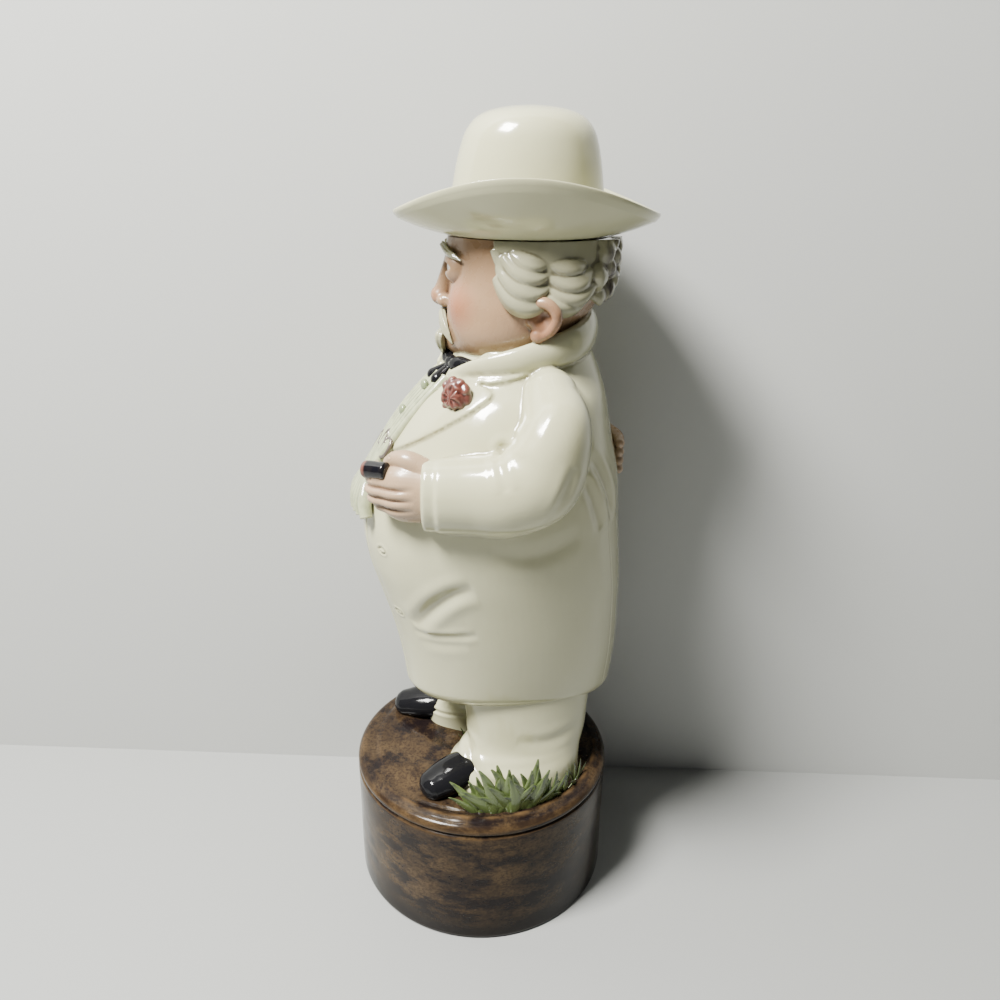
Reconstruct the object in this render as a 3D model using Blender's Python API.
"""A figural decanter: a portly gentleman in a coat on a round base, with a hat that lifts off as stopper.

Metres, +Z up. The origin is the centre of the base's flat underside. The figure faces -Y and
its left side is +X. The figure's forms are given in hundredths of its own height, from the top
of the base to the top of the hat, with heights counted from the top of the base.
"""

import math

import bpy
import numpy as np

# Driving sizes
BASE_RADIUS = 0.050
BASE_HEIGHT = 0.0530
BASE_ROUND = 0.0030
GROOVE_DEPTH = 0.0010
GROOVE_DROP = 0.0042
FOOT_BEVEL = 0.0016
FIGURE_HEIGHT = 0.236
WALL = 0.0045
MOUTH_RADIUS = 0.0138
PLUG_CLEARANCE = 0.0010
PLUG_WALL = 0.0030
PLUG_LENGTH = 0.0140
HAT_WALL = 0.0040
BRIM_THICKNESS = 0.0030
CROWN_RADIUS = 0.0250
BRIM_RADIUS = 0.0432
REST_GAP = 0.0003

# One hundredth of the figure's height
UNIT = FIGURE_HEIGHT / 100

# Fineness of the modelled clay, and the share of its faces that the solid keeps
CLAY_VOXEL = FIGURE_HEIGHT / 270
CLAY_KEEP = 0.0200
HOLLOW_VOXEL = FIGURE_HEIGHT / 130
HOLLOW_KEEP = 0.028

# Head: its centre behind the base's centre, its turn to the figure's right, and its flat top
HEAD_BACK = 5.9
HEAD_TURN = math.radians(18)
HEAD_TOP = 83.6
CHIN = 68.4
SKULL_TOP = 91.0

# Each station is height, distance back, half width, half depth
COAT = (
    (9.0, 4.6, 11.8, 16.5),
    (13.6, 4.8, 12.6, 17.2),
    (19.9, 4.6, 14.0, 17.8),
    (26.3, 3.9, 15.3, 18.4),
    (32.6, 2.9, 16.3, 19.2),
    (37.9, 1.9, 17.0, 19.7),
    (43.2, 1.4, 17.2, 19.7),
    (49.6, 1.8, 17.0, 18.8),
    (54.9, 2.6, 16.1, 16.8),
    (59.1, 3.5, 15.3, 15.0),
    (62.3, 4.5, 14.0, 13.4),
    (64.8, 5.3, 11.9, 11.9),
    (67.6, 6.0, 9.5, 10.1),
    (70.8, 6.3, 8.0, 8.6),
)
# The hem: its mean height, how much more at the front than at the back, and how much more at the sides
HEM = 12.3
HEM_TILT = 1.5
HEM_RISE = 2.2
# The same for the head, from its own axis
HEAD = (
    (63.8, 0.9, 7.0, 6.8),
    (67.0, -0.8, 7.4, 8.2),
    (68.7, -1.4, 8.5, 9.0),
    (71.1, -1.5, 9.6, 9.3),
    (74.1, -0.5, 10.1, 10.2),
    (77.1, 0.3, 10.1, 10.8),
    (80.2, 0.4, 9.9, 10.9),
    (82.8, 0.3, 9.8, 11.1),
    (86.3, 0.2, 9.2, 10.7),
)
# The same for the left leg, with its distance to the side as well: height, side, back, half width, half depth
LEG = (
    (-2.0, 8.6, 3.3, 7.2, 10.9),
    (0.6, 8.6, 3.3, 7.2, 10.9),
    (3.0, 8.3, 3.5, 7.0, 10.8),
    (5.0, 7.7, 4.6, 6.4, 10.2),
    (8.0, 7.0, 5.8, 6.1, 9.9),
    (20.0, 6.2, 5.8, 6.2, 11.0),
)
# The cast is thinner where the legs face each other: their hollows stand this much nearer together
LEG_HOLLOW_SHIFT = 0.7
# How far a sleeve's end bulges, as a share of its radius
CUFF_END = 0.12
# Shoe from heel to toe: share of its length, height and radius
SHOE = ((0, 2.2, 2.4), (0.4, 2.2, 2.6), (0.75, 1.8, 2.5), (1, 1.5, 2.1))
# Swags of hair on one side: first and last angle from the face, first and last height, droop and radius
SWAGS = (
    (81, 104, 82.2, 80.9, 0.8, 0.95),
    (75, 105, 81.8, 79.7, 1.5, 1.2),
    (72, 106, 80.6, 78.2, 2.0, 1.3),
    (70, 110, 79.2, 76.7, 2.2, 1.3),
    (68, 112, 82.6, 75.9, 2.4, 0.9),
    (106, 132, 81.0, 80.9, 0.8, 0.95),
    (106, 139, 79.5, 80.0, 1.6, 1.2),
    (106, 143, 78.0, 78.8, 1.8, 1.3),
    (98, 136, 76.7, 75.5, 0.5, 1.2),
)
# One pleat of the waistcoat: height, reach of the outermost pleat in degrees, lift and radius
PLEAT = (
    (65.0, 14, 0.0, 0.7),
    (57.5, 10, 0.3, 0.8),
    (51.0, 6, 0.8, 0.8),
    (47.6, 11, 1.3, 1.0),
    (45.4, 15, 1.2, 0.9),
)
TIE = (0.6, -4.8, 66.4)
# The hat's brim curls up all round, and more at its sides; its crown leans back by a share of its height
BRIM_CURL = (2.2, 4.6)
CROWN_LEAN = 0.03
# Half of the hat's crown from the middle of its top: share of its radius, share of its height
DOME = ((0.02, 1.0), (0.38, 0.975), (0.64, 0.915), (0.80, 0.80), (0.89, 0.62), (0.96, 0.36), (1.0, 0.10))
# Tufts of grass: side, back, blades and height
TUFTS = (
    (16.6, -5.0, 6, 5.2),
    (17.6, -1.6, 7, 6.4),
    (17.8, 2.2, 7, 6.2),
    (16.8, 6.6, 6, 5.0),
    (14.4, 11.4, 5, 4.4),
    (0.4, -1.6, 4, 3.4),
    (-15.6, 0.6, 5, 5.0),
    (-14.0, 9.0, 5, 4.6),
    (1.0, 16.0, 4, 3.8),
)


def smooth(stations, count):
    """As many rows as asked, on a Catmull-Rom curve through the stations."""
    rows = np.array(stations, float)
    ends = np.vstack([2 * rows[0] - rows[1], rows, 2 * rows[-1] - rows[-2]])
    place = np.linspace(0, len(rows) - 1, count)
    index = np.minimum(place.astype(int), len(rows) - 2)
    t = (place - index)[:, None]
    a, b, c, d = (ends[index + k] for k in range(4))
    bend = (2 * a - 5 * b + 4 * c - d) * t**2 + (3 * b - a - 3 * c + d) * t**3
    return 0.5 * (2 * b + (c - a) * t + bend)


def turned(points, angle):
    """The points turned about the vertical."""
    c, s = math.cos(angle), math.sin(angle)
    return np.asarray(points) @ np.array([[c, s, 0], [-s, c, 0], [0, 0, 1]])


def on_head(points):
    """Points of the head's own frame, set on the body."""
    return turned(points, -HEAD_TURN) + (0, HEAD_BACK, 0)


def circle(radius, height, count):
    """A level ring of points about the vertical."""
    angles = np.linspace(0, math.tau, count, endpoint=False)
    return np.column_stack([radius * np.cos(angles), radius * np.sin(angles), np.full(count, height)])


def skin(rings):
    """A closed body over rings of points, each end closed by a fan."""
    count = len(rings[0])
    points = np.vstack([*rings, rings[0].mean(axis=0), rings[-1].mean(axis=0)])
    first, last = len(points) - 2, len(points) - 1
    faces = []
    for i in range(len(rings) - 1):
        for j in range(count):
            k = (j + 1) % count
            faces.append((i * count + j, i * count + k, (i + 1) * count + k, (i + 1) * count + j))
    for j in range(count):
        k = (j + 1) % count
        top = (len(rings) - 1) * count
        faces += [(first, k, j), (last, top + j, top + k)]
    return outward(points, faces)


def outward(points, faces):
    """The same body with its faces pointing out."""
    volume = 0.0
    for face in faces:
        for k in range(1, len(face) - 1):
            a, b, c = points[face[0]], points[face[k]], points[face[k + 1]]
            volume += np.dot(a, np.cross(b, c))
    return (points, faces) if volume > 0 else (points, [face[::-1] for face in faces])


class Form:
    """An upright body through stations of height, side, back, half width and half depth."""

    def __init__(self, stations, along=40, place=None):
        rows = [row if len(row) == 5 else (row[0], 0.0, *row[1:]) for row in stations]
        self.rows = smooth(rows, along)
        self.place = place or (lambda points: points)

    def row(self, height):
        return [np.interp(height, self.rows[:, 0], self.rows[:, k]) for k in range(1, 5)]

    def at(self, angle, height, lift=0.0):
        """The point at an angle in degrees from the front towards the left, lifted off the surface."""

        def surface(a, h):
            side, back, wide, deep = self.row(h)
            return np.array([side + wide * math.sin(a), back - deep * math.cos(a), h])

        a = math.radians(angle)
        point = surface(a, height)
        normal = np.cross(surface(a + 0.01, height) - point, surface(a, height + 0.1) - point)
        return self.place((point + lift * normal / np.linalg.norm(normal))[None])[0]

    def body(self, around=40, inset=0.0, low=None, high=None, rise=0.0, tilt=0.0, rounding=0.0):
        """The closed body between two heights, smaller by an inset, its low edge higher at the sides and front."""
        low = self.rows[0, 0] if low is None else low
        high = self.rows[-1, 0] if high is None else high
        angles = np.linspace(0, 2 * math.pi, around, endpoint=False)
        lowest = low + rise * np.sin(angles) ** 2 + tilt * np.cos(angles)
        rings = []
        for share in np.linspace(0, 1, len(self.rows)):
            height = lowest + share * (high - lowest)
            side, back, wide, deep = self.row(height)
            shrink = inset + rounding * max(0.0, 1 - share * len(self.rows) / 2) ** 2
            x = side + (wide - shrink) * np.sin(angles)
            y = back - (deep - shrink) * np.cos(angles)
            rings.append(self.place(np.column_stack([x, y, height])))
        return skin(rings)


def tube(stations, around=12, along=16, flat=1.0, end=1.0, up=(0, 0, 1)):
    """A limb through stations of x, y, z and radius, flattened across the up direction, its far end full or flat."""
    rows = smooth(stations, along)
    centres, radii = rows[:, :3], np.maximum(rows[:, 3], 0.05)
    ways = np.gradient(centres, axis=0)
    ways /= np.linalg.norm(ways, axis=1)[:, None]
    angles = np.linspace(0, 2 * math.pi, around, endpoint=False)
    rings = []
    for index, (centre, radius, way) in enumerate(zip(centres, radii, ways)):
        side = np.cross(way, up)
        side /= np.linalg.norm(side)
        over = np.cross(side, way)
        ring = np.cos(angles)[:, None] * side * flat + np.sin(angles)[:, None] * over
        # The half-round ends are three more rings each
        if index == 0:
            rings += [centre + (ring * math.cos(a) - way * math.sin(a)) * radius for a in (1.35, 0.8, 0.4)]
        rings.append(centre + ring * radius)
        if index == len(rows) - 1:
            rings += [centre + (ring * math.cos(a) + way * math.sin(a) * end) * radius for a in (0.4, 0.8, 1.35)]
    return skin(rings)


def ball(centre, radii, around=16, turn=0.0):
    """An ellipsoid, turned about the vertical."""
    rings = []
    for lift in np.linspace(-1.45, 1.45, around // 2 + 1):
        rings.append(turned(circle(math.cos(lift), math.sin(lift), around) * radii, turn) + centre)
    return skin(rings)


def panel(form, edges, lift, sink=1.5, across=6):
    """A raised panel on a form: each edge row is a height with its first and last angle."""
    rows = smooth(edges, 3 * len(edges))
    outer, inner = [], []
    for height, start, end in rows:
        angles = np.linspace(start, end, across)
        outer.append([form.at(a, height, lift) for a in angles])
        inner.append([form.at(a, height, -sink) for a in angles])
    rings = [np.array(over + under[::-1]) for over, under in zip(outer, inner)]
    return skin(rings)


class Clay:
    """Closed bodies gathered into one mesh, in the figure's units above the base."""

    def __init__(self):
        self.points, self.faces = [], []

    def add(self, *bodies):
        for points, faces in bodies:
            shift = len(self.points)
            self.points += [tuple(p) for p in points]
            self.faces += [tuple(i + shift for i in face) for face in faces]

    def mesh(self, name):
        points = np.array(self.points) * UNIT + (0, 0, BASE_HEIGHT)
        mesh = bpy.data.meshes.new(name)
        mesh.from_pydata(points.tolist(), [], self.faces)
        mesh.shade_smooth()
        return mesh


coat = Form(COAT, along=60)
head = Form(HEAD, along=40, place=on_head)


def mirrored(points):
    return np.asarray(points) * (-1, 1, 1)


def add_coat(clay):
    clay.add(coat.body(around=48, low=HEM, rise=HEM_RISE, tilt=HEM_TILT, rounding=0.8))
    # Turned-over collar, low at the front and standing at the nape
    half = [(4.2, -5.6, 65.6, 0.7), (7.6, -2.8, 67.2, 1.2), (10.0, 3.4, 68.6, 1.9), (8.4, 11.0, 70.2, 2.5)]
    nape = [(0.0, 15.2, 71.2, 2.8)]
    other = [(-x, y, z, r) for x, y, z, r in half[::-1]]
    clay.add(tube(half + nape + other, along=40, around=12, flat=0.55))
    # Lapels, with the notch where they meet the collar
    for side in (1, -1):
        lapel = [(54.0, 2, 8), (57.5, 5, 29), (61.0, 12, 46), (63.6, 19, 58), (64.4, 21, 56), (65.0, 22, 44)]
        clay.add(panel(coat, [(h, side * a, side * b) for h, a, b in lapel], lift=0.55))
        collar = [(65.0, 24, 54), (65.8, 27, 70), (67.4, 34, 92), (69.0, 44, 106)]
        clay.add(panel(coat, [(h, side * a, side * b) for h, a, b in collar], lift=0.6))


def add_left_arm(clay):
    sleeve = [(11.6, 6.4, 62.6, 5.0), (15.4, 6.0, 59.4, 5.9), (17.4, 3.6, 54.6, 6.2)]
    sleeve += [(17.0, -0.6, 52.3, 5.9), (15.6, -5.2, 51.9, 5.4), (14.4, -9.6, 51.8, 5.1)]
    clay.add(tube(sleeve, around=24, along=28, flat=0.84, end=CUFF_END))
    clay.add(tube([(14.3, -9.8, 51.8, 5.0), (13.9, -11.4, 51.8, 4.9)], around=24, along=3, flat=0.78, end=CUFF_END))
    # A fist seen from its back: palm, four curled fingers, and the thumb along the top
    clay.add(tube([(13.8, -11.0, 51.9, 4.0), (12.4, -14.0, 52.0, 4.1), (10.9, -16.0, 52.0, 3.3)], along=8, flat=0.66))
    for number in range(4):
        height = 54.0 - 1.55 * number
        back = 0.7 * number
        finger = [(12.3, -15.2 + back, height, 1.15), (10.8, -17.2 + back, height, 1.1)]
        finger += [(8.6, -18.0 + back, height - 0.1, 1.05), (6.6, -16.8 + back, height - 0.2, 0.9)]
        clay.add(tube(finger, around=10, along=10))
    thumb = [(13.4, -11.4, 55.4, 1.6), (12.2, -13.6, 56.7, 1.4), (10.6, -15.6, 56.9, 1.2), (9.4, -16.8, 56.4, 0.9)]
    clay.add(tube(thumb, along=10))
    clay.add(tube([(9.6, -15.6, 54.4, 1.3), (6.0, -19.0, 53.9, 1.3)], along=4))


def add_right_arm(clay):
    sleeve = [(-11.6, 6.4, 62.6, 5.0), (-15.0, 7.0, 59.4, 5.8), (-16.8, 9.4, 54.0, 6.0)]
    sleeve += [(-14.0, 14.4, 51.8, 5.3), (-8.8, 18.0, 51.8, 4.6)]
    clay.add(tube(sleeve, around=24, along=26, flat=0.9, end=CUFF_END))
    clay.add(tube([(-8.0, 18.4, 51.8, 4.5), (-6.4, 19.2, 51.9, 4.4)], around=24, along=3, flat=0.8, end=CUFF_END))
    clay.add(ball((-4.2, 20.1, 52.2), (3.6, 1.9, 3.2), turn=math.radians(12)))
    for number in range(4):
        height = 54.0 - 1.4 * number
        finger = [(-3.0, 20.8, height, 0.95), (0.2, 21.3, height - 0.3, 0.9), (2.4, 20.9, height - 0.8, 0.8)]
        clay.add(tube(finger, along=8))


def add_legs(clay):
    leg = Form(LEG, along=24)
    points, faces = leg.body(around=32)
    clay.add((points, faces), outward(mirrored(points), faces))
    # Round-toed shoes, turned out
    for side, toe_side, toe_front in ((1, 11.0, -10.4), (-1, 11.8, -11.0)):
        heel = np.array([8.4 * side, -2.4])
        toe = np.array([toe_side * side, toe_front])
        shoe = [(*(heel + (toe - heel) * share), z, r) for share, z, r in SHOE]
        clay.add(tube(shoe, around=16, along=12, flat=1.3))


def add_head(clay):
    clay.add(head.body(around=44))
    # Places by the usual proportions: eyes halfway up, the nose's base halfway from them to the chin
    eyes = (SKULL_TOP + CHIN) / 2
    nose_base = (eyes + CHIN) / 2
    mouth = nose_base - (nose_base - CHIN) / 3
    brow = eyes + (SKULL_TOP - CHIN) * 0.10

    def put(*bodies):
        for points, faces in bodies:
            clay.add((on_head(points), faces))

    nose = [(0, -10.0, brow - 1.0, 1.0), (0, -10.9, eyes - 0.9, 1.05), (0, -11.7, nose_base + 1.2, 1.5)]
    put(tube(nose, along=10, around=12))
    for side in (1, -1):
        put(ball((side * 1.25, -10.9, nose_base + 0.8), (0.9, 1.2, 0.8)))
        put(ball((side * 3.7, -8.6, eyes), (1.9, 1.9, 1.2)))
        put(ball((side * 5.2, -7.2, nose_base + 0.6), (3.4, 3.1, 3.3)))
        eyebrow = [(side * 1.7, -10.8, brow - 0.3, 0.6), (side * 3.8, -10.4, brow + 0.4, 0.7)]
        put(tube(eyebrow + [(side * 6.2, -8.9, brow - 0.3, 0.5)], along=8, around=8))
        whisker = [(side * 0.4, -11.2, nose_base - 0.8, 0.9), (side * 2.4, -10.8, nose_base - 1.2, 0.9)]
        put(tube(whisker + [(side * 4.4, -9.6, mouth - 0.8, 0.5)], along=8, around=8))
        ear = [(side * 9.9, 1.0, 76.0, 0.8), (side * 10.8, 3.0, 75.6, 1.0)]
        ear += [(side * 10.7, 3.3, 73.4, 0.9), (side * 9.9, 1.6, 71.4, 0.8)]
        put(tube(ear, along=12, around=8), ball((side * 9.9, 2.0, 73.6), (0.9, 1.8, 2.4)))
    put(ball((0, -10.1, mouth - 0.7), (1.9, 1.0, 0.6)))
    put(ball((0, -9.0, CHIN + 0.8), (3.0, 2.6, 2.2)))
    # Shirt collar
    ring = []
    for a in np.linspace(0.15, math.tau - 0.15, 14):
        ring.append((7.9 * math.sin(a), 5.2 - 8.4 * math.cos(a), 68.0 + 1.6 * math.sin(a / 2) ** 2, 1.0))
    clay.add(tube(ring, along=36, around=8))


def add_hair(clay):
    """A cap of hair with swags on both sides and rows of curls at the back, laid on the head."""
    cap = [(76.0, 92, 268), (77.6, 76, 284), (81.0, 70, 290), (85.5, 68, 292)]
    clay.add(panel(head, cap, lift=0.5, across=24))
    for side in (1, -1):
        for start, end, high, low, droop, thick in SWAGS:
            path = []
            for t in np.linspace(0, 1, 7):
                height = high + (low - high) * t - droop * math.sin(math.pi * t) ** 0.8
                point = head.at(side * (start + (end - start) * t), height, 0.5)
                path.append((*point, thick * (0.5 + 0.5 * math.sin(math.pi * t))))
            clay.add(tube(path, along=14, around=8))
        for row in range(4):
            for number in range(3):
                angle = 150 + 13 * number + (6 if row % 2 else 0)
                middle = head.at(side * min(angle, 180), 82.2 - 2.4 * row, 0.7)
                clay.add(ball(middle, (1.7, 1.7, 1.5), around=10))


def add_front(clay):
    """What is on the chest: waistcoat, bow tie, flower and watch chain."""
    # Waistcoat pleats, flared over the belly
    for number in range(7):
        spread = (number - 3) / 3
        path = [(*coat.at(1 + spread * fan, height, lift), thick) for height, fan, lift, thick in PLEAT]
        clay.add(tube(path, along=14, around=8))
    # Bow tie
    knot = np.array(TIE)
    clay.add(ball(knot, (1.2, 1.0, 1.2), around=10))
    for side in (1, -1):
        wing = [(*(knot + (side * 0.8, -0.1, 0)), 0.7), (*(knot + (side * 3.0, 0.4, 0.4)), 1.2)]
        clay.add(tube(wing + [(*(knot + (side * 4.6, 1.4, 0.6)), 0.9)], along=8, around=8))
        tail = [(*(knot + (side * 0.4, -0.4, -0.4)), 0.6), (*(knot + (side * 1.4, -2.4, -1.9)), 0.9)]
        clay.add(tube(tail, along=5, around=8))
    # Flower on the left lapel, a heap of petals
    middle = coat.at(38, 63.5, 0.7)
    for number in range(7):
        angle = number * math.tau / 6
        reach = 0.0 if number == 6 else 1.4
        shift = (reach * 0.7 * math.cos(angle), reach * 0.6 * math.cos(angle), reach * 1.3 * math.sin(angle))
        clay.add(ball(middle + shift, (1.25, 1.1, 1.35), around=10))
    # Watch chain
    chain = []
    for k in range(5):
        chain.append((*coat.at(14 - 6 * k, 56.4 - 1.4 * math.sin(math.pi * k / 4), 0.7), 0.5))
    clay.add(tube(chain, along=12, around=8))


def add_grass(clay):
    """Tufts round the legs, each blade a tapered leaf that leans out from the tuft's root."""
    for side, back, blades, tall in TUFTS:
        for number in range(blades):
            lean = math.tau * number / blades + 0.4 * number
            root = np.array([side + 0.5 * math.cos(lean), back + 0.7 * math.sin(lean), -0.6])
            high = tall * (0.8 + 0.2 * math.cos(3 * number))
            tip = root + (1.0 * math.cos(lean), 2.6 * math.sin(lean), high)
            middle = (root + tip) / 2 + (0.3 * math.cos(lean), 0.4 * math.sin(lean), 0.6)
            clay.add(tube([(*root, 0.9), (*middle, 0.8), (*tip, 0.2)], along=6, around=6))


def figure_mesh():
    clay = Clay()
    for add in (add_coat, add_left_arm, add_right_arm, add_legs, add_head, add_hair, add_front, add_grass):
        add(clay)
    return clay.mesh("figure")


def hollow_mesh():
    """The space inside the cast wall: head, coat, legs and base, all open to each other."""
    wall = WALL / UNIT
    clay = Clay()
    clay.add(coat.body(around=32, inset=wall, low=HEM + wall, high=68.0, rise=HEM_RISE, tilt=HEM_TILT))
    clay.add(head.body(around=24, inset=wall, low=65.0, high=HEAD_TOP - wall))
    clay.add(tube([(0, 5.6, 62.0, 4.6), (0, HEAD_BACK, 74.0, 4.6)], along=6))
    leg = Form(LEG, along=24)
    deep = BASE_HEIGHT / UNIT
    points, faces = leg.body(around=24, inset=wall, low=-wall * 1.6, high=HEM + HEM_RISE + wall * 2)
    points = points - (LEG_HOLLOW_SHIFT, 0, 0)
    clay.add((points, faces), outward(mirrored(points), faces))
    drum = (BASE_RADIUS - WALL) / UNIT
    floor, ceiling = wall - deep, -wall
    corners = ((floor, drum - 1), (floor + 1, drum), (ceiling - 1, drum), (ceiling, drum - 1))
    clay.add(skin([circle(radius, height, 48) for height, radius in corners]))
    return clay.mesh("hollow")


def turned_body(name, profile, segments):
    """A closed body of revolution about the vertical, from radius and height pairs, in metres."""
    points, faces = skin([circle(radius, height, segments) for radius, height in profile])
    mesh = bpy.data.meshes.new(name)
    mesh.from_pydata(points.tolist(), [], faces)
    mesh.set_sharp_from_angle(angle=math.radians(35))
    return mesh


def base_mesh():
    groove = BASE_HEIGHT - GROOVE_DROP
    profile = [(BASE_RADIUS - FOOT_BEVEL, 0.0), (BASE_RADIUS, FOOT_BEVEL)]
    for height, depth in ((-GROOVE_DEPTH, 0), (0, GROOVE_DEPTH), (GROOVE_DEPTH, 0)):
        profile.append((BASE_RADIUS - depth, groove + height))
    for step in range(4):
        angle = step / 3 * math.pi / 2
        radius = BASE_RADIUS - BASE_ROUND * (1 - math.cos(angle))
        profile.append((radius, BASE_HEIGHT - BASE_ROUND * (1 - math.sin(angle))))
    return turned_body("base", profile, 60)


def material(name, colour, roughness):
    made = bpy.data.materials.new(name)
    made.use_nodes = True
    shader = made.node_tree.nodes["Principled BSDF"]
    shader.inputs["Base Color"].default_value = (*colour, 1)
    shader.inputs["Roughness"].default_value = roughness
    made.diffuse_color = (*colour, 1)
    return made


def place(name, mesh, *materials):
    made = bpy.data.objects.new(name, mesh)
    for item in materials:
        made.data.materials.append(item)
    bpy.context.scene.collection.objects.link(made)
    return made


def helper(name, mesh, *materials):
    made = place(name, mesh, *materials)
    made.hide_render = True
    made.display_type = "WIRE"
    return made


def cut(target, other, operation):
    step = target.modifiers.new(other.name, "BOOLEAN")
    step.operation = operation
    step.solver = "EXACT"
    step.object = other


def thin_out(target, voxel, keep):
    """One even skin over all the bodies of the mesh, then only the faces that its form needs."""
    remesh = target.modifiers.new("one skin", "REMESH")
    remesh.mode = "VOXEL"
    remesh.voxel_size = voxel
    fewer = target.modifiers.new("fewer faces", "DECIMATE")
    fewer.ratio = keep


def hat_mesh():
    """The hat, closed over its own hollow: crown, brim, seat, plug and the bore up through the plug."""
    seat = BASE_HEIGHT + HEAD_TOP * UNIT + REST_GAP
    top = BASE_HEIGHT + FIGURE_HEIGHT
    plug = MOUTH_RADIUS - PLUG_CLEARANCE
    brim_top = seat + BRIM_THICKNESS
    dome = [(share * CROWN_RADIUS, brim_top + rise * (top - brim_top)) for share, rise in DOME]
    profile = smooth(dome, 10).tolist()
    # Brim, over its edge and back under it to the seat
    reach = BRIM_RADIUS - CROWN_RADIUS
    edge = BRIM_THICKNESS / 6
    profile += [(CROWN_RADIUS + reach * share, brim_top - edge * share) for share in (0.08, 0.4, 0.75, 1.0)]
    profile.append((BRIM_RADIUS, seat + edge))
    profile += [(CROWN_RADIUS + reach * share, seat) for share in (0.75, 0.4, 0.0)]
    # Plug with its bore, up into the hollow of the crown
    bore = plug - PLUG_WALL
    profile += [(plug, seat), (plug, seat - PLUG_LENGTH), (bore, seat - PLUG_LENGTH), (bore, brim_top)]
    hollow = smooth(dome, 10)[::-3]
    inner_top = top - HAT_WALL
    profile += [(max(r - HAT_WALL, HAT_WALL / 4), min(h, inner_top - (top - h) / 2)) for r, h in hollow]
    segments = 36
    rings = []
    for radius, height in profile:
        ring = circle(radius, height, segments)
        # Round at the plug, oval at the crown and more so at the brim
        share = min(max((radius - plug) / (CROWN_RADIUS - plug), 0), 1)
        out = min(max((radius - CROWN_RADIUS) / reach, 0), 1)
        narrow = 1 - 0.08 * share - 0.08 * out
        side = np.abs(ring[:, 0]) / radius
        ring[:, 0] *= narrow
        ring[:, 1] += CROWN_LEAN * max(height - brim_top, 0)
        ring[:, 2] += out**1.5 * (BRIM_CURL[0] + BRIM_CURL[1] * side**2.2) * UNIT
        rings.append(ring)
    points, faces = skin(rings)
    points = turned(points, -HEAD_TURN) + (0, HEAD_BACK * UNIT, 0)
    mesh = bpy.data.meshes.new("hat")
    mesh.from_pydata(points.tolist(), [], faces)
    mesh.set_sharp_from_angle(angle=math.radians(40))
    return mesh


def build():
    for item in list(bpy.data.objects):
        bpy.data.objects.remove(item)
    cream = material("cream glaze", (0.76, 0.75, 0.66), 0.15)
    brown = material("brown glaze", (0.12, 0.06, 0.03), 0.2)
    hat_glaze = material("hat glaze", (0.76, 0.75, 0.66), 0.15)

    decanter = place("decanter", figure_mesh(), cream, brown)
    thin_out(decanter, CLAY_VOXEL, CLAY_KEEP)
    base = helper("base form", base_mesh(), brown)
    cut(decanter, base, "UNION")
    hollow = helper("hollow form", hollow_mesh())
    thin_out(hollow, HOLLOW_VOXEL, HOLLOW_KEEP)
    cut(decanter, hollow, "DIFFERENCE")
    deck = BASE_HEIGHT + HEAD_TOP * UNIT
    wide = 20 * UNIT
    above = turned_body("above the head", [(wide, deck), (wide, deck + 20 * UNIT)], 24)
    cut(decanter, helper("above the head", above), "DIFFERENCE")
    mouth = turned_body("mouth", [(MOUTH_RADIUS, deck - 2.5 * WALL), (MOUTH_RADIUS, deck + WALL)], 40)
    bore = helper("mouth", mouth)
    bore.location = (0, HEAD_BACK * UNIT, 0)
    cut(decanter, bore, "DIFFERENCE")

    place("hat_stopper", hat_mesh(), hat_glaze)


build()
